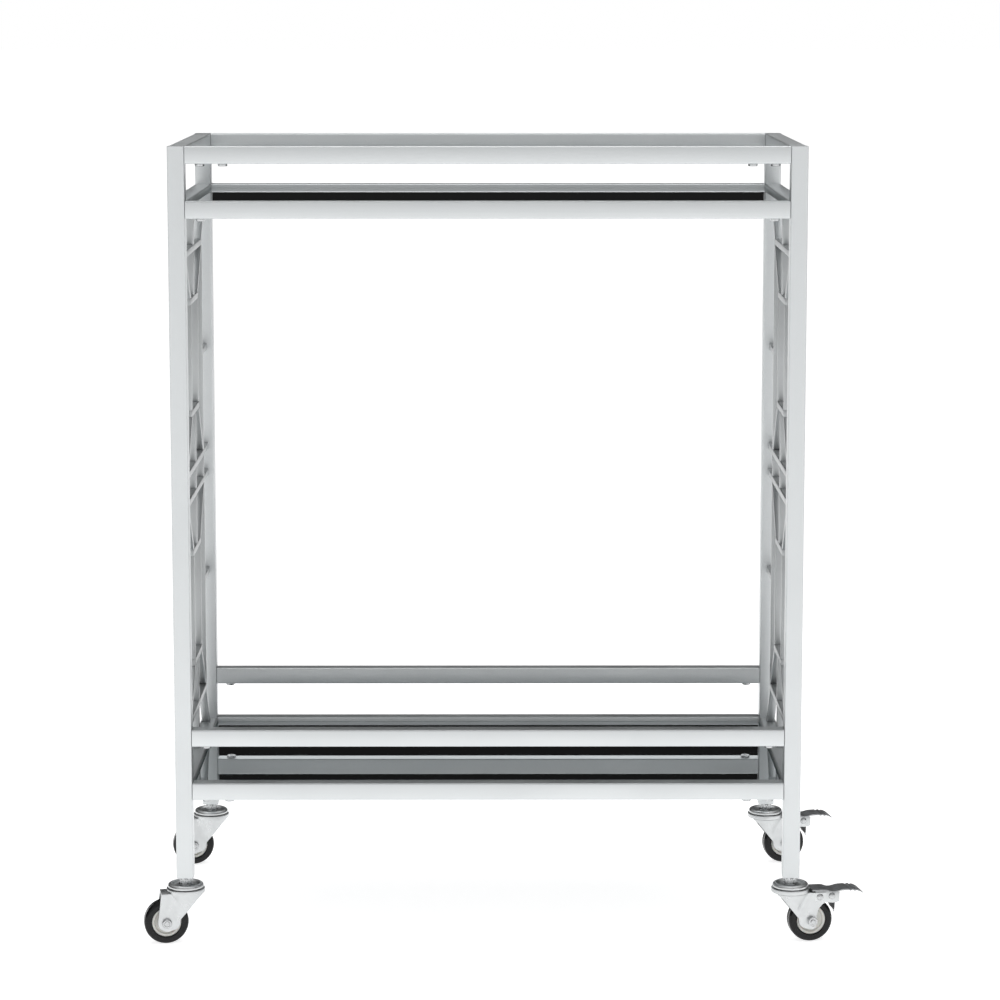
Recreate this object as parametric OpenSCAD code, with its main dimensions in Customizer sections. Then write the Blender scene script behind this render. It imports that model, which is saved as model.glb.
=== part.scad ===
// Bar cart on four swivel casters: square-tube frame, two inset mirror shelves and a
// fretwork lattice on each end. Millimetres, +Z up, front towards -Y.
// The origin is on the floor, under the middle of the frame.

/* [Frame] */
// Overall width, across the outside of the corner posts
cart_w = 700; // [500:10:1000]
// Overall depth, across the outside of the corner posts
cart_d = 350; // [300:5:500]
// Overall height, from the floor to the top of the posts
cart_h = 895; // [800:5:1100]
// Side of the square tube
tube = 19; // [16:0.5:22]
// Wall of the square tube
tube_wall = 1.2; // [0.8:0.1:2]
// Outside corner radius of the square tube
tube_r = 1.5; // [0.5:0.1:2]
// Gap between a bolted bar's end and the post
bar_gap = 0.3; // [0.2:0.1:1]
// Gap between welded pieces of the fretwork
weld_gap = 0.1; // [0.1:0.05:0.3]

/* [Shelves] */
// Open gap between the top rail and the upper shelf frame
top_gap = 41; // [30:1:100]
// Top of the lower shelf frame, above the floor
lower_shelf_z = 184; // [170:1:250]
// Open gap between the lower shelf frame and its guard rail
guard_gap = 42; // [25:1:60]
// How far the mirror lies below the top of its frame
mirror_drop = 5; // [3:0.5:8]
// Thickness of the mirror glass
mirror_t = 4; // [3:0.5:6]
// Clearance round the mirror's edge
mirror_clear = 1; // [0.5:0.1:2]
// Width of the ledge under the mirror
ledge_w = 12; // [8:1:20]
// Thickness of the ledge
ledge_t = 1.5; // [1:0.1:3]

/* [Fretwork] */
// Thickness of a lattice bar, across the end of the cart
lattice_t = 10; // [6:0.5:12]
// Thickness of a lattice bar, in the plane of the end
lattice_bar = 8; // [5:0.5:10]
// How far the lattice is set in from the outside of the posts
lattice_inset = 2; // [1:0.5:6]
// How far the middle of the pattern is above the middle of the opening
lattice_rise = 3.5; // [0:0.5:6]
// From the pattern's middle to the two bars that cross the whole end
cross_bar_z = 16; // [10:1:25]
// From the pattern's middle to the near end of each inner frame
inner_low_z = 80.5; // [60:0.5:100]
// From the pattern's middle to the far end of each inner frame
inner_high_z = 209; // [180:1:230]
// From the pattern's middle to each outer frame's end bar
outer_high_z = 267; // [250:1:280]
// Half the width of an inner frame
inner_y = 42; // [30:1:55]
// Half the width of an outer frame
outer_y = 95; // [75:1:110]
// Where the corner diagonals meet the shelf frames, from mid-depth
corner_y = 138; // [120:1:145]
// From the pattern's middle to the short bars that tie it to the posts
tie_z = 136; // [100:1:160]

/* [Screws] */
// Diameter of a screw's shank
screw_d = 5; // [4:0.5:6]
// Diameter of a screw's head
screw_head_d = 11; // [8:0.5:13]
// Height of a screw's head
screw_head_h = 3; // [2:0.5:4]
// From the post to the first screw
screw_first = 16; // [12:1:25]
// From the first screw to the second, where a bar has two
screw_pitch = 25; // [20:1:40]
// Radial clearance round a screw
screw_clear = 0.1; // [0.05:0.05:0.5]
// Width of the tongue inside a bar's end
tongue_w = 13; // [10:0.5:14]
// Thickness of the tongue
tongue_t = 4; // [3:0.5:6]
// How far the tongue reaches past its last screw
tongue_past = 8; // [6:1:12]

/* [Casters] */
// Height of the post's lower end, above the floor
caster_h = 75; // [72:0.5:80]
// Diameter of the wheel
wheel_d = 50; // [46:1:54]
// Width of the tyre
tyre_w = 16.5; // [14:0.5:17.5]
// Diameter of the hub, under the tyre
hub_d = 33; // [28:1:38]
// From the swivel axis to the axle
trail = 22.5; // [20:0.5:25]
// How far each caster is turned from the cart's long axis, in degrees
caster_yaw = 10; // [0:1:15]
// Diameter of the threaded stem
stem_d = 8; // [6:0.5:9]
// Length of the stem inside the post
stem_grip = 22; // [15:1:30]
// Outside diameter of the fork's ball race
race_d = 43; // [38:1:46]
// Diameter of the dished cap over the race
cap_d = 40.5; // [36:0.5:43]
// Thickness of the fork's steel
fork_t = 1.8; // [1.5:0.1:2.5]
// Gap between the fork's cheeks
fork_gap = 20; // [19:0.5:24]
// Diameter of the axle bolt
axle_d = 6; // [5:0.5:8]
// Radial running clearance of axle, king pin and brake pivot
run_clear = 0.05; // [0.02:0.01:0.1]
// Number of balls in each race
ball_count = 16; // [10:1:18]
// Diameter of a ball
ball_d = 4; // [3:0.5:4]

/* [Brakes] */
// Diameter of the brake's pivot pin
pivot_d = 4; // [3:0.5:5]
// Diameter of the rivet heads
rivet_d = 7.8; // [6:0.2:9]
// Thickness of the pedal's steel
pedal_t = 1.5; // [1.2:0.1:2.5]
// Width of the pedal
pedal_w = 25; // [22:1:30]
// From the swivel axis to the pedal's tip
pedal_reach = 82; // [75:1:90]
// Gap between the shoe and the tyre with the brake off
shoe_gap = 2.6; // [2.2:0.1:4]

/* [Hidden] */
$fn = 48;

// Frame levels: each is the top face of the bars at that level
upper_shelf_z = cart_h - tube - top_gap;
guard_z = lower_shelf_z + guard_gap + tube;
post_x = cart_w / 2 - tube / 2;
post_y = cart_d / 2 - tube / 2;
in_x = cart_w / 2 - tube;
in_y = cart_d / 2 - tube;
tube_in = tube - 2 * tube_wall;
post_lid = 1.5;

// Lattice levels
pattern_z = (upper_shelf_z - tube + lower_shelf_z) / 2 + lattice_rise;
lattice_x = cart_w / 2 - lattice_inset - lattice_t / 2;
lattice_top = upper_shelf_z - tube;
lattice_foot = lower_shelf_z;

// Caster levels, above the floor
wheel_r = wheel_d / 2;
nut_h = 6.5;
nut_af = 13;
nut_lift = 1;
washer_t = 1.5;
washer_d = 16;
nut_z = caster_h - nut_lift - nut_h;
cap_t = 1.8;
cap_centre_z = nut_z - washer_t;
cap_crown_z = cap_centre_z + 2;
cap_rim_z = cap_centre_z - 2.5;
race_z = cap_rim_z - 1;
race_skirt = 5;
deck_z = race_z - 4;
race_r = 14;
ball_z = cap_crown_z - cap_t - ball_d / 2 - 0.05;
flare_drop = 34;
pin_head_d = 14;
pin_head_t = 2;

// Fork and axle, in the caster's own frame: x towards the axle, y across the wheel
cheek_out = fork_gap / 2 + fork_t;
cheek_end_r = 10;
deck_x = trail + 6;
head_d = 11;
head_h = 3.5;
axle_nut_af = 10;
axle_nut_h = 5;
wheel_clear = 0.25;
boss_d = 14;
hub_w = tyre_w - 2.5;

// Brake, in the caster's own frame
pivot_x = trail + 9;
pivot_z = deck_z - 6.3;
shoe_x = pivot_x + 14.5;
brake_cheek_z = deck_z - 1;
pedal_z = deck_z + 0.6;
ear_t = 1.2;
ear_clear = 0.2;
ear_y = fork_gap / 2 - ear_clear - ear_t / 2;
ear_end_x = shoe_x + 9;
rivet_h = 1.8;

// ---------- shared shapes ----------

// A square with round corners, centred
module rounded_square(side, r) {
    square([side, side - 2 * r], center = true);
    square([side - 2 * r, side], center = true);
    for (sx = [-1, 1], sy = [-1, 1])
        translate([sx * (side / 2 - r), sy * (side / 2 - r)]) circle(r);
}

// A length of the frame's tube, along +Z
module tube_length(len) {
    linear_extrude(len) difference() {
        rounded_square(tube, tube_r);
        square(tube_in, center = true);
    }
}

// A vertical screw hole through a bar's lower wall
module screw_holes(xs, half_len) {
    for (x = xs, side = [-1, 1])
        translate([side * (half_len - x), 0, -tube]) cylinder(r = screw_d / 2 + screw_clear, h = tube);
}

// A bar along X with its top at z and its middle at y, held at each end by count screws
module cross_bar(y, z, count) {
    color("gainsboro") translate([0, y, z - tube / 2]) difference() {
        translate([-in_x + bar_gap, 0, 0]) rotate([0, 90, 0]) tube_length(2 * (in_x - bar_gap));
        screw_holes(screw_places(count), in_x);
    }
}

// A bar along Y between two posts, with its top at z
module side_bar(side, z) {
    color("gainsboro") translate([side * post_x, -in_y, z - tube / 2])
        rotate([-90, 0, 0]) tube_length(2 * in_y);
}

function screw_places(count) = [for (i = [0 : count - 1]) screw_first + i * screw_pitch];

// ---------- frame ----------

// The four levels of bolted bars: top face, screws at each end
BAR_LEVELS = [[cart_h, 2], [upper_shelf_z, 1], [guard_z, 1], [lower_shelf_z, 2]];

module post(side_x, side_y) {
    color("gainsboro") translate([side_x * post_x, side_y * post_y, caster_h]) {
        tube_length(cart_h - caster_h - post_lid);
        translate([0, 0, cart_h - caster_h - post_lid])
            linear_extrude(post_lid) rounded_square(tube, tube_r);
    }
}

// Welded tongues inside the ends of every bolted bar
module rail_tongues() {
    color("silver")
    for (level = BAR_LEVELS, sy = [-1, 1], sx = [-1, 1]) {
        reach = screw_first + (level[1] - 1) * screw_pitch + tongue_past;
        base = level[0] - tube + tube_wall + screw_clear;
        difference() {
            translate([sx > 0 ? in_x - reach : -in_x, sy * post_y - tongue_w / 2, base])
                cube([reach, tongue_w, tongue_t]);
            for (x = screw_places(level[1]))
                translate([sx * (in_x - x), sy * post_y, base - 1])
                    cylinder(r = screw_d / 2 + screw_clear, h = tongue_t + 2);
        }
    }
}

// Low round heads with the shank up into the tongue
module frame_screws() {
    color("silver")
    for (level = BAR_LEVELS, sy = [-1, 1], sx = [-1, 1], x = screw_places(level[1]))
        translate([sx * (in_x - x), sy * post_y, level[0] - tube]) {
            translate([0, 0, -screw_head_h / 2]) cylinder(d = screw_head_d, h = screw_head_h / 2);
            translate([0, 0, -screw_head_h])
                cylinder(d1 = screw_head_d - 2, d2 = screw_head_d, h = screw_head_h / 2);
            cylinder(d = screw_d, h = tube_wall + screw_clear + tongue_t + 2);
        }
}

// Threaded plugs in the lower ends of the posts
module post_inserts() {
    color("dimgray")
    for (sx = [-1, 1], sy = [-1, 1])
        translate([sx * post_x, sy * post_y, caster_h]) difference() {
            linear_extrude(stem_grip + 4) square(tube_in - 0.2, center = true);
            translate([0, 0, -1]) cylinder(r = stem_d / 2 + screw_clear, h = stem_grip + 6);
        }
}

module mirror_sheet(z) {
    color("dimgray") translate([-in_x + mirror_clear, -in_y + mirror_clear, z - mirror_drop - mirror_t])
        cube([2 * (in_x - mirror_clear), 2 * (in_y - mirror_clear), mirror_t]);
}

// Flat strips welded inside each shelf frame, under the mirror's edges
module mirror_ledges() {
    color("gainsboro")
    for (z = [upper_shelf_z, lower_shelf_z]) {
        base = z - mirror_drop - mirror_t - ledge_t;
        for (side = [-1, 1]) {
            translate([-in_x, side > 0 ? in_y - ledge_w : -in_y, base])
                cube([2 * in_x, ledge_w, ledge_t]);
            translate([side > 0 ? in_x - ledge_w : -in_x, -in_y + ledge_w + weld_gap, base])
                cube([ledge_w, 2 * (in_y - ledge_w - weld_gap), ledge_t]);
        }
    }
}

// ---------- fretwork ----------

// A bar of the lattice from y0 to y1, with its middle at height z
module fret_level(y0, y1, z) {
    translate([-lattice_t / 2, y0, z - lattice_bar / 2]) cube([lattice_t, y1 - y0, lattice_bar]);
}

// An upright of the lattice from z0 to z1, with its middle at y
module fret_upright(y, z0, z1) {
    translate([-lattice_t / 2, y - lattice_bar / 2, z0 + weld_gap])
        cube([lattice_t, lattice_bar, z1 - z0 - 2 * weld_gap]);
}

// A sloping bar whose centre line runs from [y, z] a to b, cut level at its ends and
// upright where it meets the outer frame, at y = reach
module fret_slope(a, b, reach) {
    run = b[0] - a[0];
    rise = b[1] - a[1];
    half = lattice_bar / 2 * sqrt(run * run + rise * rise) / abs(rise);
    translate([-lattice_t / 2, 0, 0]) rotate([90, 0, 90]) linear_extrude(lattice_t) intersection() {
        polygon([[a[0] - half, a[1]], [a[0] + half, a[1]], [b[0] + half, b[1]], [b[0] - half, b[1]]]);
        translate([-reach, 0]) square([2 * reach, cart_h]);
    }
}

// The half of the pattern above its middle, for an opening that ends at height top
module fret_half(top) {
    b = lattice_bar / 2;
    g = weld_gap;
    // bars that cross the whole end, and the outer frame's end bar
    fret_level(-in_y + g, in_y - g, cross_bar_z);
    fret_level(-outer_y - b, outer_y + b, outer_high_z);
    // inner frame
    fret_level(-inner_y - b, inner_y + b, inner_low_z);
    fret_level(-inner_y - b, inner_y + b, inner_high_z);
    // centre stem
    fret_upright(0, cross_bar_z + b, inner_low_z - b);
    fret_upright(0, inner_high_z + b, outer_high_z - b);
    fret_upright(0, outer_high_z + b, top);
    for (side = [-1, 1]) {
        fret_upright(side * inner_y, inner_low_z + b, inner_high_z - b);
        fret_upright(side * outer_y, cross_bar_z + b, outer_high_z - b);
        // diagonals: inner frame to the outer frame, and on to the corner of the shelf
        fret_slope([side * outer_y, cross_bar_z + b + g], [side * inner_y, inner_low_z - b - g],
                   outer_y - b - g);
        fret_slope([side * inner_y, inner_high_z + b + g], [side * outer_y, outer_high_z - b - g],
                   outer_y - b - g);
        fret_slope([side * outer_y, outer_high_z + b + g], [side * corner_y, top - g], in_y - g);
        // short ties out to the posts
        tie_in = outer_y + b + g;
        fret_level(side > 0 ? tie_in : -in_y + g, side > 0 ? in_y - g : -tie_in, tie_z);
    }
}

module lattice(side) {
    color("gainsboro") translate([side * lattice_x, 0, pattern_z]) {
        fret_half(lattice_top - pattern_z);
        mirror([0, 0, 1]) fret_half(pattern_z - lattice_foot);
        for (y = [-outer_y, 0, outer_y])
            fret_upright(y, -cross_bar_z + lattice_bar / 2, cross_bar_z - lattice_bar / 2);
    }
}

// ---------- casters ----------

// Places a caster's piece: 0 front left, 1 front right, 2 back left, 3 back right
module at_caster(i) {
    right = i % 2;
    back = i > 1 ? 1 : -1;
    translate([(right ? 1 : -1) * post_x, back * post_y, 0])
        rotate([0, 0, caster_yaw + (right ? 0 : 180)]) children();
}

// Threaded stem and king pin, with the head that carries the fork
module caster_stems() {
    color("silver")
    for (i = [0 : 3]) at_caster(i) {
        translate([0, 0, race_z - fork_t - run_clear - pin_head_t]) cylinder(d = pin_head_d, h = pin_head_t);
        translate([0, 0, race_z - fork_t - 1]) cylinder(d = stem_d, h = caster_h + stem_grip - race_z + fork_t + 1);
        translate([0, 0, race_z + run_clear])
            cylinder(d = stem_d + 4, h = cap_centre_z - cap_t - race_z - run_clear);
    }
}

// Hexagon nut and washer that hold the cap
module stem_nuts() {
    color("silver")
    for (i = [0 : 3]) at_caster(i) difference() {
        union() {
            translate([0, 0, cap_centre_z]) cylinder(d = washer_d, h = washer_t);
            translate([0, 0, nut_z]) cylinder(d = nut_af / cos(30), h = nut_h, $fn = 6);
        }
        translate([0, 0, cap_centre_z - 1]) cylinder(r = stem_d / 2 + run_clear, h = nut_h + washer_t + 2);
    }
}

module race_balls() {
    color("dimgray")
    for (i = [0 : 3]) at_caster(i)
        for (k = [0 : ball_count - 1])
            rotate([0, 0, k * 360 / ball_count]) translate([race_r, 0, ball_z]) sphere(d = ball_d, $fn = 24);
}

// Dished steel cap over the balls
module race_cap(i) {
    color("silver") at_caster(i) rotate_extrude() polygon([
        [stem_d / 2 + run_clear, cap_centre_z - cap_t], [stem_d / 2 + run_clear, cap_centre_z],
        [9, cap_centre_z], [11, cap_crown_z], [15.5, cap_crown_z],
        [cap_d / 2 - 1.2, cap_crown_z - 1.8], [cap_d / 2, cap_crown_z - 3.2], [cap_d / 2, cap_rim_z],
        [cap_d / 2 - cap_t, cap_rim_z], [cap_d / 2 - cap_t, cap_crown_z - cap_t - 1.6],
        [15, cap_crown_z - cap_t], [11.8, cap_crown_z - cap_t], [9.8, cap_centre_z - cap_t]
    ]);
}

// The fork's outline from the side, before the wheel gap is cut
module fork_outline(braked) {
    polygon(concat(
        [[-race_d / 2 - 1, race_z], [-race_d / 2 - 1, race_z - race_skirt], [-12.5, deck_z - 7.5],
         [trail - 21.5, deck_z - 23], [trail - 15, wheel_r + 3], [trail - 15, wheel_r - 2],
         [trail - 9, wheel_r - cheek_end_r + 1.5]],
        braked
            ? [[trail + 5, wheel_r - 8.7], [trail + 5.5, wheel_r + 6], [trail + 7, wheel_r + 13],
               [trail + 11.5, wheel_r + 19], [trail + 16, wheel_r + 20.5], [trail + 17, brake_cheek_z],
               [race_d / 2 - 3, brake_cheek_z], [race_d / 2 - 3, race_z]]
            : [[trail + 5, wheel_r - 8.7], [trail + cheek_end_r, wheel_r], [deck_x, deck_z],
               [race_d / 2 - 3, deck_z], [race_d / 2 - 3, race_z]]));
    translate([trail, wheel_r]) circle(cheek_end_r - (braked ? 2.5 : 0));
}

// The space the fork's pressing encloses, or its outside when grown by the steel's thickness
module fork_form(grow) {
    flare_r = race_d / 2 - fork_t + grow;
    translate([-30, -fork_gap / 2 - grow, 0]) cube([90, fork_gap + 2 * grow, deck_z - fork_t + grow]);
    translate([0, 0, race_z - race_skirt]) cylinder(r = flare_r, h = race_skirt - fork_t + grow);
    translate([0, 0, race_z - race_skirt - flare_drop])
        cylinder(r1 = flare_r - 11, r2 = flare_r, h = flare_drop);
}

module fork(i) {
    braked = i % 2 == 1;
    color("silver") at_caster(i) difference() {
        intersection() {
            fork_form(fork_t);
            union() {
                translate([0, race_d / 2 + 1, 0]) rotate([90, 0, 0])
                    linear_extrude(race_d + 2) fork_outline(braked);
                translate([0, 0, race_z - race_skirt]) cylinder(d = race_d, h = race_skirt);
            }
            // ahead of the king pin nothing reaches past the race
            union() {
                cylinder(d = race_d, h = race_z);
                translate([0, -race_d / 2, 0]) cube([pedal_reach, race_d, race_z]);
            }
        }
        fork_form(0);
        // past the race nothing joins the braked fork's cheeks, where the pedal's ears go
        if (braked)
            translate([race_d / 2 + ear_clear, -fork_gap / 2, 0]) cube([pedal_reach, fork_gap, race_z]);
        // holes for the king pin, the axle and the brake
        cylinder(r = stem_d / 2 + run_clear, h = race_z + 1);
        translate([trail, cheek_out + 1, wheel_r]) rotate([90, 0, 0])
            cylinder(r = axle_d / 2 + run_clear, h = 2 * cheek_out + 2);
        if (braked)
            translate([pivot_x, cheek_out + 1, pivot_z]) rotate([90, 0, 0])
                cylinder(r = pivot_d / 2 + run_clear, h = 2 * cheek_out + 2);
        // track that the balls run in
        rotate_extrude() translate([race_r, ball_z]) circle(d = ball_d + 2 * run_clear);
    }
}

// Bolt with a round head on one cheek
module axle(i) {
    color("silver") at_caster(i) translate([trail, 0, wheel_r]) rotate([-90, 0, 0]) {
        translate([0, 0, cheek_out]) cylinder(d = head_d, h = head_h - 1);
        translate([0, 0, cheek_out + head_h - 1]) cylinder(d1 = head_d, d2 = head_d - 2.5, h = 1);
        translate([0, 0, -cheek_out - axle_nut_h - 1]) cylinder(d = axle_d, h = 2 * cheek_out + axle_nut_h + 1);
    }
}

module axle_nut(i) {
    color("silver") at_caster(i) translate([trail, -cheek_out, wheel_r]) rotate([90, 0, 0]) difference() {
        cylinder(d = axle_nut_af / cos(30), h = axle_nut_h, $fn = 6);
        translate([0, 0, -1]) cylinder(r = axle_d / 2 + run_clear, h = axle_nut_h + 2);
    }
}

// Moulded hub: a rim, a thin web and a boss that runs on the axle
module hub(i) {
    boss = fork_gap / 2 - wheel_clear;
    color("whitesmoke") at_caster(i) translate([trail, 0, wheel_r]) rotate([90, 0, 0])
        rotate_extrude() polygon([
            [axle_d / 2 + run_clear, -boss], [boss_d / 2, -boss], [boss_d / 2, -hub_w / 2 + 2],
            [hub_d / 2 - 4, -hub_w / 2 + 2], [hub_d / 2 - 3, -hub_w / 2], [hub_d / 2, -hub_w / 2],
            [hub_d / 2, hub_w / 2], [hub_d / 2 - 3, hub_w / 2], [hub_d / 2 - 4, hub_w / 2 - 2],
            [boss_d / 2, hub_w / 2 - 2], [boss_d / 2, boss], [axle_d / 2 + run_clear, boss]
        ]);
}

// Solid tyre with round shoulders
module tyre(i) {
    shoulder = 4;
    color("black") at_caster(i) translate([trail, 0, wheel_r]) rotate([90, 0, 0])
        rotate_extrude() difference() {
            union() {
                translate([0, -tyre_w / 2]) square([wheel_r - shoulder, tyre_w]);
                translate([0, -tyre_w / 2 + shoulder]) square([wheel_r, tyre_w - 2 * shoulder]);
                for (s = [-1, 1])
                    translate([wheel_r - shoulder, s * (tyre_w / 2 - shoulder)]) circle(shoulder);
            }
            translate([-wheel_d, -tyre_w]) square([wheel_d + hub_d / 2, 2 * tyre_w]);
        }
}

// ---------- brakes ----------

// Rivet the pedal turns on
module brake_pivot(i) {
    color("silver") at_caster(i) translate([pivot_x, 0, pivot_z]) rotate([90, 0, 0]) {
        translate([0, 0, -cheek_out]) cylinder(d = pivot_d, h = 2 * cheek_out);
        for (s = [-1, 1]) translate([0, 0, s * (cheek_out + rivet_h / 2)])
            cylinder(d = rivet_d, h = rivet_h, center = true);
    }
}

// The pedal's plate from the side: level, a dip, a hump and a turned-down lip
module pedal_profile() {
    top = [[race_d / 2 + 0.9, 0], [shoe_x - 7, 0], [shoe_x - 2, -2], [shoe_x + 4, -2.6],
           [shoe_x + 10, 0], [pedal_reach - 14, 0.4], [pedal_reach - 7, -0.6],
           [pedal_reach - 3, -2.4], [pedal_reach, -5.5]];
    last = len(top) - 1;
    polygon(concat([for (p = top) [p[0], pedal_z + pedal_t + p[1]]],
                   [for (k = [0 : last]) [top[last - k][0] - (k == 0 ? 1 : 0), pedal_z + top[last - k][1]]]));
}

// A side ear of the pedal, which carries the shoe
module ear_profile() {
    difference() {
        union() {
            polygon([[pivot_x - 4, pivot_z], [pivot_x, pivot_z - 4], [shoe_x - 4, pivot_z - 7.5],
                     [ear_end_x - 1, pivot_z - 7], [ear_end_x, pedal_z - 2.4],
                     [shoe_x + 2, pedal_z - 2.4], [shoe_x - 7, pedal_z], [pivot_x - 5, pedal_z]]);
            translate([pivot_x, pivot_z]) circle(4);
            translate([shoe_x - 7.5, pedal_z - 0.5]) square([1, 1]);
        }
        translate([pivot_x, pivot_z]) circle(pivot_d / 2 + run_clear);
        translate([shoe_x, pivot_z]) circle(pivot_d / 2);
    }
}

module brake_pedal(i) {
    color("dimgray") at_caster(i) {
        translate([0, pedal_w / 2, 0]) rotate([90, 0, 0]) linear_extrude(pedal_w) pedal_profile();
        for (s = [-1, 1]) translate([0, s * ear_y + ear_t / 2, 0])
            rotate([90, 0, 0]) linear_extrude(ear_t) ear_profile();
    }
}

// Shoe on a rivet between the ears
module brake_shoe(i) {
    half = ear_y - ear_t / 2 - ear_clear;
    color("dimgray") at_caster(i) {
        difference() {
            translate([0, half, 0]) rotate([90, 0, 0]) linear_extrude(2 * half) {
                translate([shoe_x, pivot_z]) circle(4);
                polygon([[shoe_x - 4, pivot_z], [shoe_x - 4, pivot_z - 8], [shoe_x + 1, pivot_z - 17],
                         [shoe_x + 3.5, pivot_z - 16], [shoe_x + 4, pivot_z]]);
            }
            translate([trail, half + 1, wheel_r]) rotate([90, 0, 0])
                cylinder(r = wheel_r + shoe_gap, h = 2 * half + 2, $fn = 96);
        }
        translate([shoe_x, 0, pivot_z]) rotate([90, 0, 0])
            cylinder(d = pivot_d, h = 2 * ear_y + ear_t, center = true);
        for (s = [-1, 1]) translate([shoe_x, s * (ear_y + ear_t / 2 + rivet_h / 2), pivot_z])
            rotate([90, 0, 0]) cylinder(d = rivet_d, h = rivet_h, center = true);
    }
}

// ---------- the nodes ----------

post(-1, -1);  // post_front_left
post(1, -1);  // post_front_right
post(-1, 1);  // post_back_left
post(1, 1);  // post_back_right
cross_bar(-post_y, cart_h, 2);  // top_rail_front
cross_bar(post_y, cart_h, 2);  // top_rail_back
side_bar(-1, cart_h);  // top_rail_left
side_bar(1, cart_h);  // top_rail_right
cross_bar(-post_y, upper_shelf_z, 1);  // upper_bar_front
cross_bar(post_y, upper_shelf_z, 1);  // upper_bar_back
side_bar(-1, upper_shelf_z);  // upper_bar_left
side_bar(1, upper_shelf_z);  // upper_bar_right
cross_bar(-post_y, lower_shelf_z, 2);  // lower_bar_front
cross_bar(post_y, lower_shelf_z, 2);  // lower_bar_back
side_bar(-1, lower_shelf_z);  // lower_bar_left
side_bar(1, lower_shelf_z);  // lower_bar_right
cross_bar(-post_y, guard_z, 1);  // guard_rail_front
cross_bar(post_y, guard_z, 1);  // guard_rail_back
mirror_sheet(upper_shelf_z);  // upper_mirror
mirror_sheet(lower_shelf_z);  // lower_mirror
mirror_ledges();
lattice(-1);  // lattice_left
lattice(1);  // lattice_right
frame_screws();
rail_tongues();
post_inserts();
caster_stems();
stem_nuts();
race_balls();
race_cap(0);  // race_cap_front_left
race_cap(1);  // race_cap_front_right
race_cap(2);  // race_cap_back_left
race_cap(3);  // race_cap_back_right
fork(0);  // fork_front_left
fork(1);  // fork_front_right
fork(2);  // fork_back_left
fork(3);  // fork_back_right
axle(0);  // axle_front_left
axle(1);  // axle_front_right
axle(2);  // axle_back_left
axle(3);  // axle_back_right
axle_nut(0);  // axle_nut_front_left
axle_nut(1);  // axle_nut_front_right
axle_nut(2);  // axle_nut_back_left
axle_nut(3);  // axle_nut_back_right
hub(0);  // hub_front_left
hub(1);  // hub_front_right
hub(2);  // hub_back_left
hub(3);  // hub_back_right
tyre(0);  // tyre_front_left
tyre(1);  // tyre_front_right
tyre(2);  // tyre_back_left
tyre(3);  // tyre_back_right
brake_pivot(1);  // brake_pivot_front_right
brake_pivot(3);  // brake_pivot_back_right
brake_pedal(1);  // brake_pedal_front_right
brake_pedal(3);  // brake_pedal_back_right
brake_shoe(1);  // brake_shoe_front_right
brake_shoe(3);  // brake_shoe_back_right
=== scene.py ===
"""Looks for the bar cart: silver square-tube frame, smoked mirrors, fretwork ends, zinc casters."""
import math

import bmesh
import bpy
from mathutils import Matrix, Vector

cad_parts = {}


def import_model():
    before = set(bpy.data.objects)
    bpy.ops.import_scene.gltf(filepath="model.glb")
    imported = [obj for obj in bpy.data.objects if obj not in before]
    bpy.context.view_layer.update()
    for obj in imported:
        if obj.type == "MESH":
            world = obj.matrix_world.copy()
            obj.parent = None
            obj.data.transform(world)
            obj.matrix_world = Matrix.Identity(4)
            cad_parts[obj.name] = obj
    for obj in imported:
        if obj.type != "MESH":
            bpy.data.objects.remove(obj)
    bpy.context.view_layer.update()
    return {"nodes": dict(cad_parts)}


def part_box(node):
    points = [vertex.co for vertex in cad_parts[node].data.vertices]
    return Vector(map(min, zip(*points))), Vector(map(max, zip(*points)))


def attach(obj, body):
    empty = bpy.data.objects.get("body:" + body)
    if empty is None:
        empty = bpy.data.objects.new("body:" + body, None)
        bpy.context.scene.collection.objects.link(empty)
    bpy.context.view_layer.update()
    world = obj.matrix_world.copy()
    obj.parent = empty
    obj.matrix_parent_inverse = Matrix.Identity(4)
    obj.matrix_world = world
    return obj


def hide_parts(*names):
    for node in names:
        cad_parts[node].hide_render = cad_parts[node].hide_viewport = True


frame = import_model()
nodes = frame["nodes"]
CASTERS = ("front_left", "front_right", "back_left", "back_right")
MM = 0.001

# ---------------------------------------------------------------- camera

EYE = Vector((0.0039, -3.6586, 1.057))
TILT_DOWN = math.radians(7.565)
TURN = math.radians(-0.155)
SENSOR = 36.0


def make_camera():
    data = bpy.data.cameras.new("camera")
    data.sensor_width = SENSOR
    data.lens = 114.82
    data.shift_y = -0.08
    camera = bpy.data.objects.new("camera", data)
    camera.location = EYE
    camera.rotation_euler = (math.pi / 2 - TILT_DOWN, 0.0, TURN)
    bpy.context.scene.collection.objects.link(camera)
    bpy.context.scene.camera = camera


make_camera()

# ---------------------------------------------------------------- node-building helpers


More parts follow.
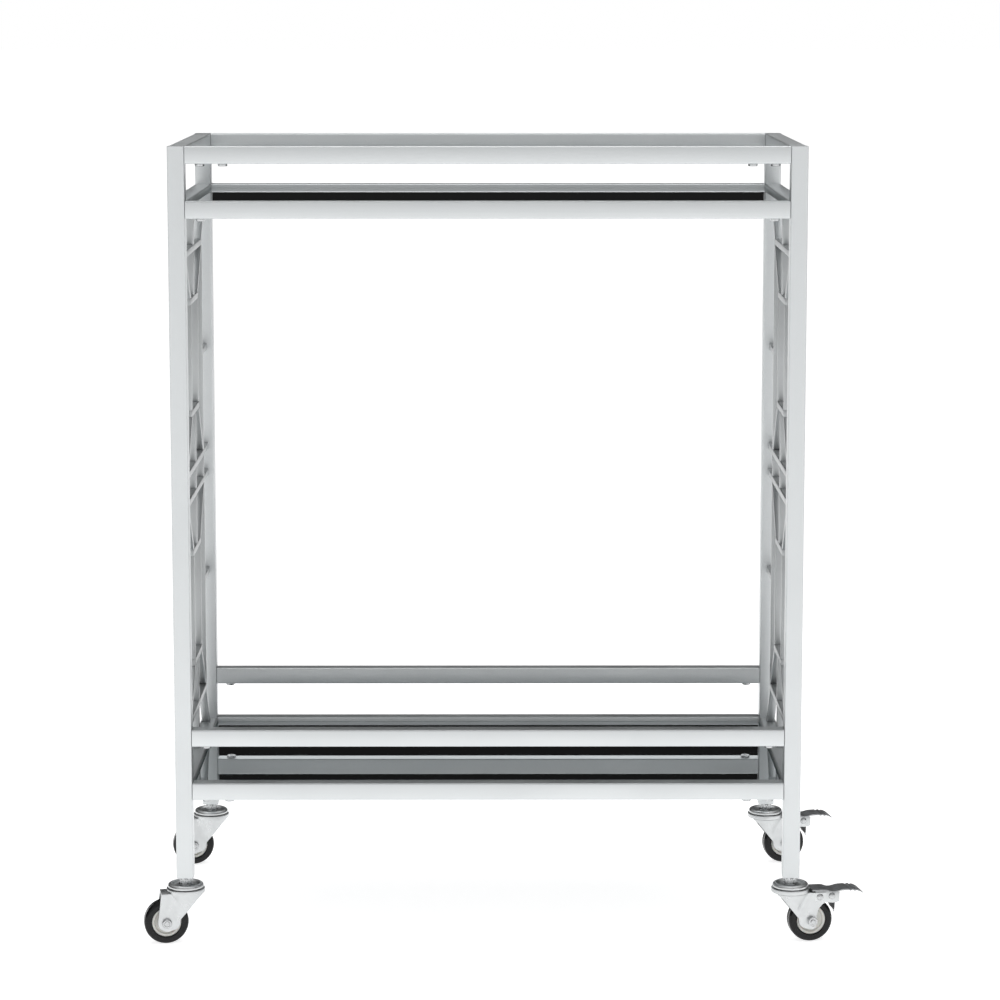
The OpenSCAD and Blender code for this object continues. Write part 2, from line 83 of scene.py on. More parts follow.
class Finish:
    """A new procedural material, with short calls for its nodes."""

    def __init__(self, name):
        self.material = bpy.data.materials.new(name)
        self.material.use_nodes = True
        self.tree = self.material.node_tree
        self.shader = self.tree.nodes["Principled BSDF"]
        self.place = self.node("ShaderNodeTexCoord").outputs["Object"]

    def node(self, kind, **settings):
        made = self.tree.nodes.new(kind)
        for key, value in settings.items():
            setattr(made, key, value)
        return made

    def link(self, source, target):
        self.tree.links.new(source, target)

    def set(self, **values):
        for key, value in values.items():
            self.shader.inputs[key.replace("_", " ")].default_value = value

    def noise(self, scale, detail=2.0, roughness=0.5, stretch=None):
        texture = self.node("ShaderNodeTexNoise")
        texture.inputs["Scale"].default_value = scale
        texture.inputs["Detail"].default_value = detail
        texture.inputs["Roughness"].default_value = roughness
        source = self.place
        if stretch:
            mapping = self.node("ShaderNodeMapping")
            mapping.inputs["Scale"].default_value = stretch
            self.link(self.place, mapping.inputs["Vector"])
            source = mapping.outputs["Vector"]
        self.link(source, texture.inputs["Vector"])
        return texture.outputs["Fac"]

    def ramp(self, source, stops):
        """stops is a list of (position, colour or grey)."""
        made = self.node("ShaderNodeValToRGB")
        elements = made.color_ramp.elements
        while len(elements) < len(stops):
            elements.new(0.5)
        for element, (position, value) in zip(elements, stops):
            element.position = position
            colour = value if isinstance(value, tuple) else (value,) * 3
            element.color = (*colour, 1.0)
        self.link(source, made.inputs["Fac"])
        return made.outputs["Color"]

    def into(self, source, socket):
        self.link(source, self.shader.inputs[socket])

    def colour(self, source, dark, light, low=0.3, high=0.7):
        self.into(self.ramp(source, [(low, dark), (high, light)]), "Base Color")

    def rough(self, source, least, most, low=0.3, high=0.7):
        self.into(self.ramp(source, [(low, least), (high, most)]), "Roughness")

    def bump(self, source, distance, strength=1.0):
        made = self.node("ShaderNodeBump")
        made.inputs["Distance"].default_value = distance
        made.inputs["Strength"].default_value = strength
        self.link(source, made.inputs["Height"])
        before = self.shader.inputs["Normal"]
        if before.is_linked:
            self.link(before.links[0].from_socket, made.inputs["Normal"])
        self.link(made.outputs["Normal"], before)


# ---------------------------------------------------------------- finishes


def silver_powder_coat(name, painted_shade_scale):
    """Satin metallic powder coat: fine flake in the colour and a faint orange peel. A scale below 1
    darkens the whole colour as painted shade, giving a shaded copy of the same coat.
    """
    f = Finish(name)
    f.set(Metallic=0.8)
    dark, light = (tuple(painted_shade_scale * c for c in tone) for tone in ((0.655, 0.68, 0.69), (0.725, 0.745, 0.75)))
    f.colour(f.noise(2600.0, 1.0), dark, light)
    f.rough(f.noise(9.0, 4.0), 0.36, 0.46)
    f.bump(f.noise(700.0, 2.0), 0.00004, 0.5)
    return f.material


def smoked_mirror():
    """Dark mirror under clear glass, with a trace of dust."""
    f = Finish("smoked_mirror")
    f.set(Metallic=1.0, Coat_Weight=1.0, Coat_Roughness=0.01, Coat_IOR=1.5)
    f.colour(f.noise(6.0, 3.0), (0.32, 0.37, 0.39), (0.35, 0.40, 0.42))
    f.rough(f.noise(30.0, 5.0), 0.012, 0.035, 0.35, 0.75)
    return f.material


def mirror_backing():
    """Grey protective paint on the mirror's underside."""
    f = Finish("mirror_backing")
    f.colour(f.noise(120.0, 4.0), (0.075, 0.08, 0.085), (0.11, 0.115, 0.12))
    f.set(Roughness=0.6)
    f.bump(f.noise(500.0, 3.0), 0.00005, 0.5)
    return f.material


def glass_edge():
    """Ground edge of the glass."""
    f = Finish("glass_edge")
    f.colour(f.noise(900.0, 2.0), (0.09, 0.15, 0.145), (0.17, 0.25, 0.24))
    f.set(Roughness=0.35, Coat_Weight=0.6)
    return f.material


def bright_zinc():
    """Zinc-plated pressed steel: cloudy spangle with fine rolling marks."""
    f = Finish("bright_zinc")
    f.set(Metallic=0.85)
    f.colour(f.noise(160.0, 4.0), (0.60, 0.615, 0.62), (0.64, 0.655, 0.66))
    f.rough(f.noise(240.0, 4.0, stretch=(1.0, 1.0, 0.25)), 0.26, 0.4)
    f.bump(f.noise(900.0, 2.0), 0.00003, 0.5)
    return f.material


def bolt_zinc():
    """Bright plated fasteners."""
    f = Finish("bolt_zinc")
    f.set(Metallic=0.9)
    f.colour(f.noise(400.0, 3.0), (0.46, 0.47, 0.475), (0.58, 0.59, 0.60))
    f.rough(f.noise(300.0, 3.0), 0.16, 0.3)
    return f.material


def dark_plate():
    """Grey-plated pedal steel with brushed streaks."""
    f = Finish("dark_plate")
    f.set(Metallic=0.8)
    f.colour(f.noise(200.0, 4.0), (0.33, 0.34, 0.35), (0.47, 0.475, 0.485))
    f.rough(f.noise(350.0, 3.0, stretch=(0.3, 1.0, 1.0)), 0.28, 0.45)
    f.bump(f.noise(1200.0, 2.0), 0.00003, 0.5)
    return f.material


def hub_nylon():
    """Off-white moulded nylon."""
    f = Finish("hub_nylon")
    f.colour(f.noise(80.0, 3.0), (0.66, 0.655, 0.62), (0.74, 0.735, 0.70))
    f.set(Roughness=0.38, Subsurface_Weight=0.05, Subsurface_Scale=0.002)
    f.bump(f.noise(1500.0, 2.0), 0.00002, 0.4)
    return f.material


def tyre_black():
    """Polished black polyurethane with light scuffs."""
    f = Finish("tyre_black")
    f.colour(f.noise(300.0, 5.0, 0.6), (0.004, 0.004, 0.0045), (0.010, 0.010, 0.0105), 0.35, 0.8)
    f.rough(f.noise(140.0, 4.0), 0.16, 0.3)
    f.set(Specular_IOR_Level=0.28)
    f.bump(f.noise(1100.0, 3.0), 0.00004, 0.5)
    return f.material


def shoe_rubber():
    """Dull black rubber of the brake shoe."""
    f = Finish("shoe_rubber")
    f.colour(f.noise(500.0, 3.0), (0.02, 0.02, 0.021), (0.05, 0.05, 0.052))
    f.set(Roughness=0.55)
    f.bump(f.noise(1500.0, 2.0), 0.00005, 0.6)
    return f.material


PAINT = silver_powder_coat("silver_powder_coat", 1.0)
# The fretwork is the same silver paint as the frame; its copy is darkened to 0.7 as painted shade, for
# bars that sit in shade.
FRET_PAINT_PAINTED_SHADE = silver_powder_coat("silver_powder_coat_fretwork_painted_shade", 0.7)
MIRROR = smoked_mirror()
BACKING = mirror_backing()
GLASS_EDGE = glass_edge()
ZINC = bright_zinc()
BOLT = bolt_zinc()
DARK = dark_plate()
NYLON = hub_nylon()
TYRE = tyre_black()
RUBBER = shoe_rubber()

# ---------------------------------------------------------------- mesh helpers

SMOOTH_ANGLE = math.radians(35)


def finished(bm, name, materials, body, replaced):
    """Makes the piece's object, shades it, ties it to its body and hides the CAD nodes it replaces."""
    bm.normal_update()
    mesh = bpy.data.meshes.new(name)
    for edge in bm.edges:
        if len(edge.link_faces) == 2:
            edge.smooth = edge.calc_face_angle(0.0) < SMOOTH_ANGLE
    for face in bm.faces:
        face.smooth = True
    bm.to_mesh(mesh)
    bm.free()
    for material in materials:
        mesh.materials.append(material)
    piece = bpy.data.objects.new(name, mesh)
    bpy.context.scene.collection.objects.link(piece)
    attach(piece, body)
    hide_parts(*replaced)


def recalculated(bm):
    bmesh.ops.remove_doubles(bm, verts=bm.verts, dist=1e-7)
    bmesh.ops.recalc_face_normals(bm, faces=bm.faces)
    return bm


def rounded_box(bm, low, high, radius, along=None, segments=3):
    """Adds a box with rounded edges; with along, only the edges that run along that axis."""
    low, high = Vector(low), Vector(high)
    place = Matrix.Translation((low + high) / 2) @ Matrix.Diagonal((*(high - low), 1.0))
    made = bmesh.ops.create_cube(bm, size=1.0, matrix=place)["verts"]
    edges = {e for v in made for e in v.link_edges}
    if along is not None:
        edges = {e for e in edges if abs((e.verts[0].co - e.verts[1].co).normalized()[along]) > 0.9}
    bmesh.ops.bevel(bm, geom=list(edges), offset=radius, segments=segments, profile=0.5,
                    affect="EDGES", material=-1)


def copy_of(name):
    """A merged copy of a CAD node's mesh, with its flat faces whole again."""
    bm = bmesh.new()
    bm.from_mesh(nodes[name].data)
    bmesh.ops.remove_doubles(bm, verts=bm.verts, dist=1e-6)
    bmesh.ops.dissolve_limit(bm, angle_limit=math.radians(0.5), verts=bm.verts, edges=bm.edges)
    return bm


def placed(bm, old, place):
    """Moves the vertices added since old was taken."""
    bmesh.ops.transform(bm, matrix=place, verts=[v for v in bm.verts if v not in old])


def turned(bm, outline, place, steps=64):
    """Spins a closed outline of (radius, height) points about +Z and sets it in place."""
    old = set(bm.verts)
    verts = [bm.verts.new((r, 0.0, h)) for r, h in outline]
    pairs = list(zip(verts, verts[1:] + verts[:1]))
    edges = [bm.edges.new(pair) for pair in pairs if pair[0].co.x > 0 or pair[1].co.x > 0]
    bmesh.ops.spin(bm, geom=verts + edges, cent=(0, 0, 0), axis=(0, 0, 1), angle=math.tau,
                   steps=steps, use_merge=True)
    fresh = [v for v in bm.verts if v not in old]
    bmesh.ops.remove_doubles(bm, verts=fresh, dist=1e-5)
    placed(bm, old, place)


def rounded(points, radius, steps=3):
    """The closed outline with each corner replaced by a small arc; corners on the axis stay."""
    out = []
    count = len(points)
    for i, here in enumerate(points):
        a, b, c = Vector(points[i - 1]), Vector(here), Vector(points[(i + 1) % count])
        if b.x <= 0:
            out.append((b.x, b.y))
            continue
        reach = min(radius, (a - b).length * 0.45, (c - b).length * 0.45)
        start, end = b + (a - b).normalized() * reach, b + (c - b).normalized() * reach
        for k in range(steps + 1):
            t = k / steps
            spot = start.lerp(b, t).lerp(b.lerp(end, t), t)
            out.append((spot.x, spot.y))
    return out


def bevelled(bm, verts, radius, segments=2, sharpest=math.radians(30)):
    """Rounds the sharp edges among verts."""
    bm.normal_update()
    edges = {e for v in verts for e in v.link_edges
             if len(e.link_faces) == 2 and e.calc_face_angle(0.0) > sharpest}
    bmesh.ops.bevel(bm, geom=list(edges), offset=radius, segments=segments, profile=0.5,
                    affect="EDGES", material=-1)


def prism(bm, outline, low, high, place, radius):
    """An outline in the XZ plane, taken from y = low to y = high, with rounded edges."""
    old = set(bm.verts)
    rings = [[bm.verts.new((x, y, z)) for x, z in outline] for y in (low, high)]
    for ring in rings:
        bm.faces.new(ring)
    for i in range(len(outline)):
        k = (i + 1) % len(outline)
        bm.faces.new((rings[0][i], rings[0][k], rings[1][k], rings[1][i]))
    fresh = [v for v in bm.verts if v not in old]
    bmesh.ops.recalc_face_normals(bm, faces=list({f for v in fresh for f in v.link_faces}))
    bevelled(bm, fresh, radius)
    placed(bm, old, place)


def hexagon(bm, across, height, place, chamfer):
    """A nut's hexagon from z = 0 up, with rounded edges and turned-off corners."""
    old = set(bm.verts)
    far = across / 2 / math.cos(math.pi / 6)
    levels = [(0.0, far - chamfer), (chamfer * 0.6, far), (height - chamfer * 0.6, far),
              (height, far - chamfer)]
    rings = []
    for z, reach in levels:
        ring = []
        for i in range(36):
            turn = math.tau * i / 36
            flat = across / 2 / math.cos((turn + math.pi / 6) % (math.pi / 3) - math.pi / 6)
            r = min(flat, reach)
            ring.append(bm.verts.new((r * math.cos(turn), r * math.sin(turn), z)))
        rings.append(ring)
    skinned(bm, rings)
    placed(bm, old, place)


def skinned(bm, rings):
    """Faces between rings of vertices, and over both ends."""
    for low, high in zip(rings, rings[1:]):
        for i in range(len(low)):
            k = (i + 1) % len(low)
            bm.faces.new((low[i], low[k], high[k], high[i]))
    bm.faces.new(rings[0])
    bm.faces.new(rings[-1])


def islands(bm):
    """The separate solids in a mesh, as lists of vertices."""
    left = set(bm.verts)
    while left:
        group = set()
        edge_of = [left.pop()]
        while edge_of:
            vert = edge_of.pop()
            group.add(vert)
            for edge in vert.link_edges:
                other = edge.other_vert(vert)
                if other in left:
                    left.discard(other)
                    edge_of.append(other)
        yield list(group)


def between(points, value):
    """Straight-line reading of (where, what) points, given in falling order of where."""
    for (a, at_a), (b, at_b) in zip(points, points[1:]):
        if value >= b:
            return at_a + (at_b - at_a) * (a - value) / (a - b)
    return points[-1][1]


# ---------------------------------------------------------------- frame

TUBE_RADIUS = 1.6 * MM
BARS_ALONG_X = [f"{level}_{face}" for level in ("top_rail", "upper_bar", "lower_bar", "guard_rail")
                for face in ("front", "back")]
BARS_ALONG_Y = [f"{level}_{side}" for level in ("top_rail", "upper_bar", "lower_bar")
                for side in ("left", "right")]


def tube_piece(name, along):
    """A length of square tube on its CAD node's box."""
    low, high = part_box(name)
    bm = bmesh.new()
    rounded_box(bm, low, high, TUBE_RADIUS, along, segments=4)
    finished(bm, f"{name}_tube", [PAINT], "frame", [name])


for corner in CASTERS:
    tube_piece(f"post_{corner}", 2)
for bar in BARS_ALONG_X:
    tube_piece(bar, 0)
for bar in BARS_ALONG_Y:
    tube_piece(bar, 1)


def mirror_piece(name):
    """Glass with polished arrises: mirror on top, ground edge, painted back."""
    low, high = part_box(name)
    bm = bmesh.new()
    rounded_box(bm, low, high, 0.8 * MM, segments=1)
    bm.normal_update()
    for face in bm.faces:
        face.material_index = 0 if face.normal.z > 0.9 else 2 if face.normal.z < -0.9 else 1
    finished(bm, f"{name}_glass", [MIRROR, GLASS_EDGE, BACKING], "frame", [name])


for sheet in ("upper_mirror", "lower_mirror"):
    mirror_piece(sheet)


# ---------------------------------------------------------------- fretwork

WELD_REACH = 0.5 * MM
BAR_ROUNDING = 0.9 * MM


def fretwork(name):
    """Solid bars with rounded edges, each reaching into its neighbour at the welds."""
    bm = copy_of(name)
    for index, verts in enumerate(islands(bm)):
        middle = sum((v.co for v in verts), Vector()) / len(verts)
        longest = max((e for v in verts for e in v.link_edges), key=lambda e: e.calc_length())
        along = (longest.verts[1].co - longest.verts[0].co).normalized()
        slim = 1.0 - 0.003 * (index % 5)
        for v in verts:
            step = (v.co - middle).dot(along)
            v.co += along * WELD_REACH * (1 if step > 0 else -1)
            v.co.x = middle.x + (v.co.x - middle.x) * slim
    bevelled(bm, list(bm.verts), BAR_ROUNDING, 3)
    # The bars take the darkened copy of the coat: painted shade.
    finished(bm, f"{name}_bars", [FRET_PAINT_PAINTED_SHADE], "frame", [name])


for side in ("left", "right"):
    fretwork(f"lattice_{side}")

# ---------------------------------------------------------------- screws under the bars


def dome(radius, height, socket):
    """Outline of a low round head with a hexagon-key hollow, standing on z = 0."""
    side = [(radius * 0.8, 0.0), (radius * 0.8, height * 0.2), (radius, height * 0.22),
            (radius, height * 0.7), (radius * 0.94, height * 0.9), (radius * 0.8, height)]
    return [(0.0, 0.0)] + side + [(socket, height), (socket * 0.85, height * 0.45), (0.0, height * 0.4)]


def screw_heads():
    bm = copy_of("frame_screws")
    spots = []
    for verts in list(islands(bm)):
        low = min(v.co.z for v in verts)
        middle = sum((v.co for v in verts), Vector()) / len(verts)
        spots.append((middle.x, middle.y, low))
    bm.free()
    bm = bmesh.new()
    for x, y, low in spots:
        head = Matrix.Translation((x, y, low + 3 * MM)) @ Matrix.Rotation(math.pi, 4, "X")
        turned(bm, [(r * MM, h * MM) for r, h in dome(5.5, 3.0, 1.7)], head, 40)
        shank = Matrix.Translation((x, y, low + 3 * MM))
        turned(bm, [(0, 0), (2.5 * MM, 0), (2.5 * MM, 7 * MM), (0, 7 * MM)], shank, 16)
    finished(recalculated(bm), "frame_screw_heads", [BOLT], "frame", ["frame_screws"])


screw_heads()

# ---------------------------------------------------------------- casters
# Each caster's own frame, in millimetres: x from the swivel axis to the axle, y across the wheel.

POST_X, POST_Y, YAW = 340.5, 165.5, 10.0
RACE_TOP, RACE_FOOT, RACE_R = 62.5, 57.5, 21.5
CHEEK, STEEL = 11.8, 1.8
TRAIL, WHEEL_R = 22.5, 25.0
PIVOT, SHOE, RIVET_Z = 31.5, 46.0, 52.2
EAR_IN, EAR_OUT = 8.6, 9.8
PLAIN_LEAD = [(58.3, -18.0), (56.5, -17.2), (52.0, -11.8), (35.6, 1.2), (28.0, 7.3), (23.0, 7.5),
              (20.0, 9.0), (17.0, 13.0), (15.6, 17.5), (15.0, 21.0)]
PLAIN_TAIL = [(58.3, 28.5), (27.0, 32.3), (24.0, 32.3), (20.0, 31.2), (17.0, 28.4), (15.6, 25.5),
              (15.0, 23.5)]
BRAKED_TAIL = [(57.4, 39.5), (46.3, 38.8), (45.2, 37.6), (44.0, 34.8), (38.0, 29.8), (31.0, 28.0),
               (21.0, 27.6), (17.0, 27.0), (15.6, 25.2), (15.0, 23.5)]


def caster_frame(corner):
    front, right = corner.startswith("front"), corner.endswith("right")
    turn = math.radians(YAW + (0 if right else 180))
    spot = (POST_X * MM * (1 if right else -1), POST_Y * MM * (-1 if front else 1), 0)
    return Matrix.Translation(spot) @ Matrix.Rotation(turn, 4, "Z") @ Matrix.Scale(MM, 4)


def across(x, z):
    """Turns a +Z spin into the wheel's own direction, at (x, z)."""
    return Matrix.Translation((x, 0, z)) @ Matrix.Rotation(-math.pi / 2, 4, "X")


def flank(x, z):
    """How far out the fork's steel is: a cone under the race that eases into the flat cheek."""
    fall = max(RACE_FOOT - z, 0.0)
    cone = max(RACE_R - 0.3 - 0.44 * fall + 0.0036 * fall * fall, 0.0)
    round_y = math.sqrt(max(cone * cone - x * x, 0.0))
    gap = round_y - CHEEK
    return (CHEEK + round_y + math.sqrt(gap * gap + 0.5)) / 2


def fork_side(bm, side, tail, place):
    """One pressed side of the fork, as a grid with the steel's thickness."""
    old = set(bm.verts)
    top = tail[0][0]
    levels = [top - (top - 15.0) * (1 - math.cos(math.pi * k / 60)) for k in range(31)]
    skins = []
    for inset in (0.0, STEEL):
        rows = []
        for z in levels:
            lead, end = between(PLAIN_LEAD, z), between(tail, z)
            xs = [lead + (end - lead) * k / 22 for k in range(23)]
            rows.append([bm.verts.new((x, side * (flank(x, z) - inset), z)) for x in xs])
        skins.append(rows)
    for rows in skins:
        for upper, lower in zip(rows, rows[1:]):
            for k in range(22):
                bm.faces.new((upper[k], upper[k + 1], lower[k + 1], lower[k]))
    outer, inner = skins
    rim = [[(rows[0][k], rows[-1][k]) for k in range(23)] for rows in skins]
    for k in range(22):
        for end in (0, 1):
            bm.faces.new((rim[0][k][end], rim[0][k + 1][end], rim[1][k + 1][end], rim[1][k][end]))
    for k in range(30):
        for end in (0, 22):
            bm.faces.new((outer[k][end], outer[k + 1][end], inner[k + 1][end], inner[k][end]))
    fresh = [v for v in bm.verts if v not in old]
    bmesh.ops.recalc_face_normals(bm, faces=list({f for v in fresh for f in v.link_faces}))
    bevelled(bm, fresh, 0.35, 2, math.radians(60))
    placed(bm, old, place)


def fork(corner, braked):
    place = caster_frame(corner)
    bm = bmesh.new()
    race = [(4.1, RACE_TOP - STEEL), (RACE_R - STEEL, RACE_TOP - STEEL), (RACE_R - STEEL, RACE_FOOT),
            (RACE_R, RACE_FOOT), (RACE_R, RACE_TOP), (4.1, RACE_TOP)]
    turned(bm, rounded(race, 0.8), place, 96)
    for side in (-1, 1):
        fork_side(bm, side, BRAKED_TAIL if braked else PLAIN_TAIL, place)
    end = RACE_R - 1 if braked else TRAIL + 6
    deck_top = RACE_FOOT + (0 if braked else 1)
    deck = [(-14, RACE_FOOT - 1), (end, RACE_FOOT - 1), (end, deck_top), (-14, deck_top)]
    prism(bm, deck, 0.5 - CHEEK, CHEEK - 0.5, place, 0.4)
    finished(bm, f"fork_{corner}_pressing", [ZINC], f"swivel_{corner}", [f"fork_{corner}"])


def race_cap(corner):
    bm = bmesh.new()
    outline = [(4.1, 64.2), (4.1, 66), (10.5, 66), (13, 66.2), (14.6, 67.3), (16.2, 68), (18, 67.9),
               (19.5, 67.0), (20.25, 65.6), (20.25, 63.5), (18.45, 63.5), (18.45, 64.8), (16.8, 66.2),
               (13.6, 64.6), (10.5, 64.2)]
    turned(bm, rounded(outline, 0.6, 2), caster_frame(corner), 96)
    finished(recalculated(bm), f"race_cap_{corner}_dish", [ZINC], "frame", [f"race_cap_{corner}"])


def nuts_on_stems():
    bm = bmesh.new()
    for corner in CASTERS:
        place = caster_frame(corner)
        turned(bm, rounded([(4.2, 66), (8, 66), (8, 67.5), (4.2, 67.5)], 0.4), place, 48)
        hexagon(bm, 13, 6.5, place @ Matrix.Translation((0, 0, 67.5)), 0.8)
    finished(recalculated(bm), "stem_nuts_and_washers", [BOLT], "frame", ["stem_nuts"])


def axle(corner):
    bm = bmesh.new()
    place = caster_frame(corner) @ across(TRAIL, WHEEL_R)
    head = [(0, 11.8), (5.5, 11.8), (5.5, 14.1), (4.9, 15.1), (3.4, 15.3), (3.1, 14.9), (2.7, 15.3),
            (0, 15.3)]
    turned(bm, rounded(head, 0.45), place, 48)
    shank = [(0, -17.8), (2.4, -17.8), (3, -17.2), (3, 12), (0, 12)]
    turned(bm, shank, place, 32)
    finished(recalculated(bm), f"axle_{corner}_bolt", [BOLT], f"swivel_{corner}",
             [f"axle_{corner}"])
    bm = bmesh.new()
    hexagon(bm, 10, 5, place @ Matrix.Translation((0, 0, -CHEEK - 5)), 0.7)
    finished(recalculated(bm), f"axle_{corner}_hexagon", [BOLT], f"swivel_{corner}",
             [f"axle_nut_{corner}"])


def wheel(corner):
    place = caster_frame(corner) @ across(TRAIL, WHEEL_R)
    side = [(16.5, 7.0), (14.2, 7.0), (13.5, 6.2), (13.1, 4.6), (10.4, 4.3), (10.1, 3.9), (9.4, 3.9),
            (9.1, 4.4), (7.3, 5.0), (7.0, 9.4), (6.6, 9.75), (3.05, 9.75)]
    hub = bmesh.new()
    turned(hub, rounded(side + [(r, -y) for r, y in reversed(side)], 0.35), place, 72)
    finished(recalculated(hub), f"hub_{corner}_moulding", [NYLON], f"wheel_{corner}",
             [f"hub_{corner}"])
    half = [(16.5, 7.9), (17.3, 8.25), (21.0, 8.25), (22.6, 7.9), (23.9, 7.0), (24.7, 5.7), (25.0, 4.2),
            (25.0, 0.25), (24.9, 0.0)]
    tyre = bmesh.new()
    turned(tyre, half + [(r, -y) for r, y in reversed(half[:-1])], place, 96)
    finished(recalculated(tyre), f"tyre_{corner}_tread", [TYRE], f"wheel_{corner}",
             [f"tyre_{corner}"])


# ---------------------------------------------------------------- brakes

PEDAL_LINE = [(22.4, 60.6), (30, 60.6), (37, 60.5), (40, 60.1), (43.5, 58.7), (46, 58.2), (49, 58.2),
              (52, 58.8), (55, 59.6), (58, 60.0), (62, 60.1), (65.5, 60.1), (66.2, 59.3), (67.8, 59.3),
              (68.5, 60.0), (70.5, 59.9), (71.2, 59.0), (72.8, 58.9), (73.5, 59.5), (75.5, 59.0),
              (77.5, 58.2), (79.5, 57.2), (81.2, 56.0), (82, 55.1)]
EAR = [(27.5, 52.2), (28.3, 49.6), (30.2, 48.3), (36, 46.4), (42, 44.7), (48, 44.2), (54, 45.2),
       (55, 47), (55, 56.4), (48, 56.4), (45, 57), (39, 59.2), (26.6, 59.2)]
SPRING = [(49.3, 44.0), (50.0, 43.8), (51.3, 31.2), (50.6, 31.0)]


def rivet(bm, x, reach, place):
    """A pin through both ears or cheeks with a domed head at each end."""
    for side in (-1, 1):
        turn = Matrix.Rotation(0 if side > 0 else math.pi, 4, "X")
        arc = [(3.9 * math.cos(t), 1.8 * math.sin(t)) for t in (0.0, 0.3, 0.6, 0.9, 1.2)]
        outline = [(0.0, 0.0)] + arc + [(0.0, 1.8)]
        turned(bm, outline, place @ across(x, RIVET_Z) @ turn @ Matrix.Translation((0, 0, reach)), 32)
    turned(bm, [(0, -reach), (2, -reach), (2, reach), (0, reach)], place @ across(x, RIVET_Z), 24)


def pedal(corner):
    place = caster_frame(corner)
    bm = bmesh.new()
    rings = []
    for i, (x, z) in enumerate(PEDAL_LINE):
        half = 12.5 - 2.5 * max(0.0, (x - 77) / 5) ** 2
        edge = 0.5
        ring = [(half - edge, z), (half, z - edge), (half, z - 1.0), (half - edge, z - 1.5)]
        ring += [(-y, level) for y, level in reversed(ring)]
        middle = [(6.0, z), (2.0, z), (-2.0, z), (-6.0, z)]
        ring = [(y, level) for y, level in ring] + middle[::-1]
        rings.append([bm.verts.new((x, y, level)) for y, level in ring])
    skinned(bm, rings)
    placed(bm, set(), place)
    dark = set(bm.verts)
    for side in (-1, 1):
        low, high = sorted((side * EAR_IN, side * EAR_OUT))
        prism(bm, EAR, low, high, place, 0.25)
    for face in bm.faces:
        if not all(v in dark for v in face.verts):
            face.material_index = 1
    finished(recalculated(bm), f"pedal_{corner}_plate", [DARK, ZINC], f"pedal_{corner}",
             [f"brake_pedal_{corner}"])
    bm = bmesh.new()
    rivet(bm, PIVOT, CHEEK, place)
    finished(recalculated(bm), f"pivot_{corner}_rivet", [BOLT], f"swivel_{corner}",
             [f"brake_pivot_{corner}"])
    bm = bmesh.new()
    shoe = [(42.2, 53.5), (43.5, 56), (48.5, 56), (50, 53.5), (50, 44.2), (49.7, 36.6), (48.3, 35.8),
            (47.1, 38.3), (43.9, 43.8), (42.0, 45.6)]
    prism(bm, shoe, -8.2, 8.2, place, 0.5)
    rubber = set(bm.verts)
    prism(bm, SPRING, -3.0, 3.0, place, 0.1)
    rivet(bm, SHOE, EAR_OUT, place)
    for face in bm.faces:
        if not all(v in rubber for v in face.verts):
            face.material_index = 1
    finished(recalculated(bm), f"shoe_{corner}_block", [RUBBER, BOLT], f"pedal_{corner}",
             [f"brake_shoe_{corner}"])


for corner in CASTERS:
    fork(corner, corner.endswith("right"))
    race_cap(corner)
    axle(corner)
    wheel(corner)
    if corner.endswith("right"):
        pedal(corner)
nuts_on_stems()


def give(name, material):
    """Sets a carried-over CAD node's finish."""
    data = nodes[name].data
    data.materials.clear()
    data.materials.append(material)


give("mirror_ledges", PAINT)
for name in ("rail_tongues", "post_inserts", "caster_stems", "race_balls"):
    give(name, BOLT)

# ---------------------------------------------------------------- studio

FLOOR_GLOW = 0.8
ROOM_DARK = 0.012
ROOM_TOP = 0.6
ROOM_FRONT = 0.6
FLOOR_SIZE = 60.0


def floor_paint():
    """Plain white floor that glows a little, as a floor lit from all round does."""
    f = Finish("studio_floor_paint")
    f.colour(f.noise(3.0), 0.86, 0.88, 0.0, 1.0)
    f.set(Roughness=0.9, Emission_Color=(1.0, 1.0, 1.0, 1.0), Emission_Strength=FLOOR_GLOW)
    return f.material


def floor():
    bm = bmesh.new()
    bmesh.ops.create_grid(bm, x_segments=1, y_segments=1, size=FLOOR_SIZE)
    mesh = bpy.data.meshes.new("studio_floor")
    bm.to_mesh(mesh)
    bm.free()
    mesh.materials.append(floor_paint())
    plane = bpy.data.objects.new("studio_floor", mesh)
    bpy.context.scene.collection.objects.link(plane)


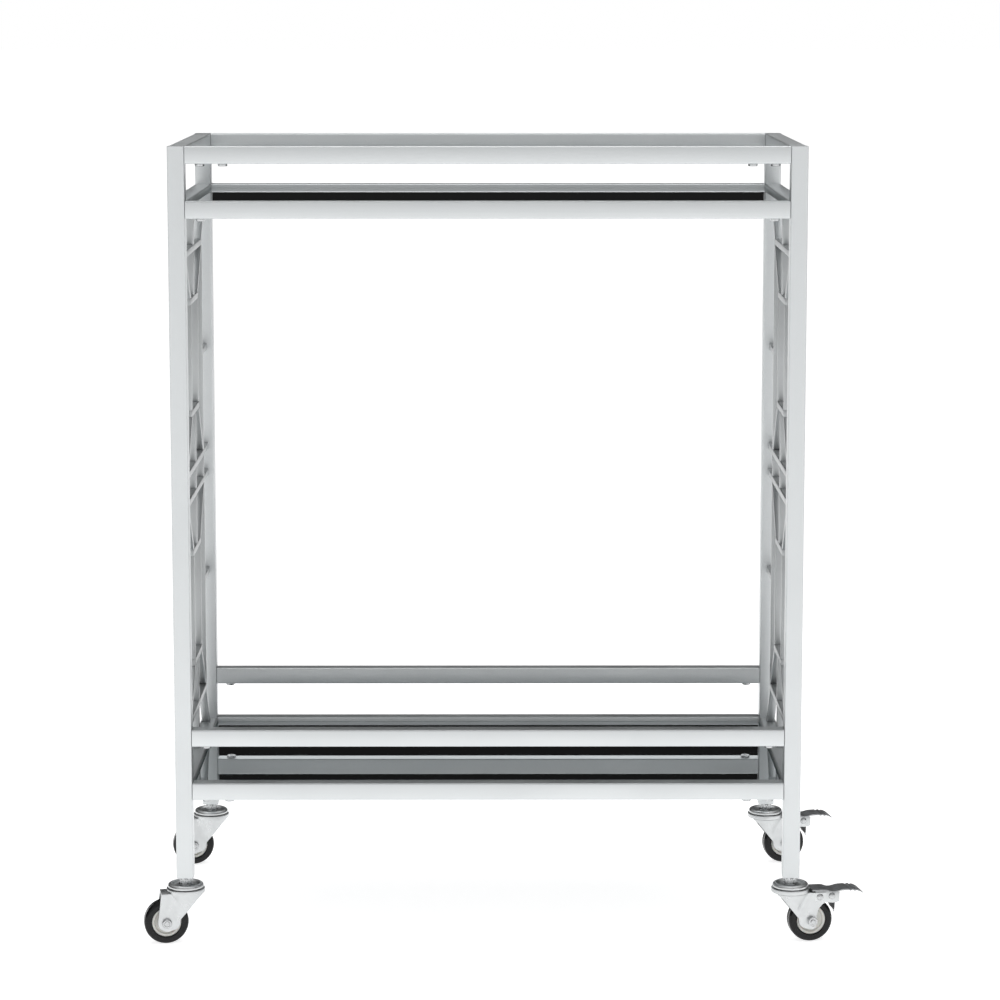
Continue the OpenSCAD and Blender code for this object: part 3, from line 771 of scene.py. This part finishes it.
def softbox(name, place, aim, size, power):
    data = bpy.data.lights.new(name, "AREA")
    data.shape = "RECTANGLE"
    data.size, data.size_y = size
    data.energy = power
    light = bpy.data.objects.new(name, data)
    light.location = place
    light.rotation_euler = (Vector(aim) - Vector(place)).to_track_quat("-Z", "Y").to_euler()
    bpy.context.scene.collection.objects.link(light)


def world():
    """White behind the cart for the camera; for light and reflections, a dark room that is
    bright overhead and on the side the cart is lit from."""
    made = bpy.data.worlds.new("studio")
    bpy.context.scene.world = made
    made.use_nodes = True
    tree = made.node_tree
    link = tree.links.new
    split = tree.nodes.new("ShaderNodeSeparateXYZ")
    link(tree.nodes.new("ShaderNodeTexCoord").outputs["Generated"], split.inputs[0])

    def ramp(output, dark_at, bright_at, bright):
        made_ramp = tree.nodes.new("ShaderNodeMapRange")
        made_ramp.interpolation_type = "SMOOTHSTEP"
        made_ramp.inputs["From Min"].default_value = dark_at
        made_ramp.inputs["From Max"].default_value = bright_at
        made_ramp.inputs["To Min"].default_value = ROOM_DARK
        made_ramp.inputs["To Max"].default_value = bright
        link(split.outputs[output], made_ramp.inputs["Value"])
        return made_ramp.outputs["Result"]

    most = tree.nodes.new("ShaderNodeMath")
    most.operation = "MAXIMUM"
    link(ramp("Z", 0.45, 0.9, ROOM_TOP), most.inputs[0])
    link(ramp("Y", -0.35, -0.95, ROOM_FRONT), most.inputs[1])
    mix = tree.nodes.new("ShaderNodeMix")
    mix.data_type = "RGBA"
    link(tree.nodes.new("ShaderNodeLightPath").outputs["Is Camera Ray"], mix.inputs["Factor"])
    link(most.outputs[0], mix.inputs["A"])
    mix.inputs["B"].default_value = (1.0, 1.0, 1.0, 1.0)
    link(mix.outputs["Result"], tree.nodes["Background"].inputs["Color"])


bpy.context.scene.view_settings.view_transform = "Standard"
floor()
world()
softbox("key_left", (-2.0, -2.6, 1.6), (0, 0, 0.5), (1.2, 1.8), 3)
softbox("key_right", (2.3, -2.4, 1.5), (0, 0, 0.5), (1.2, 1.8), 4)
softbox("overhead", (0, 0.3, 2.6), (0, 0, 0), (2.4, 2.0), 26)
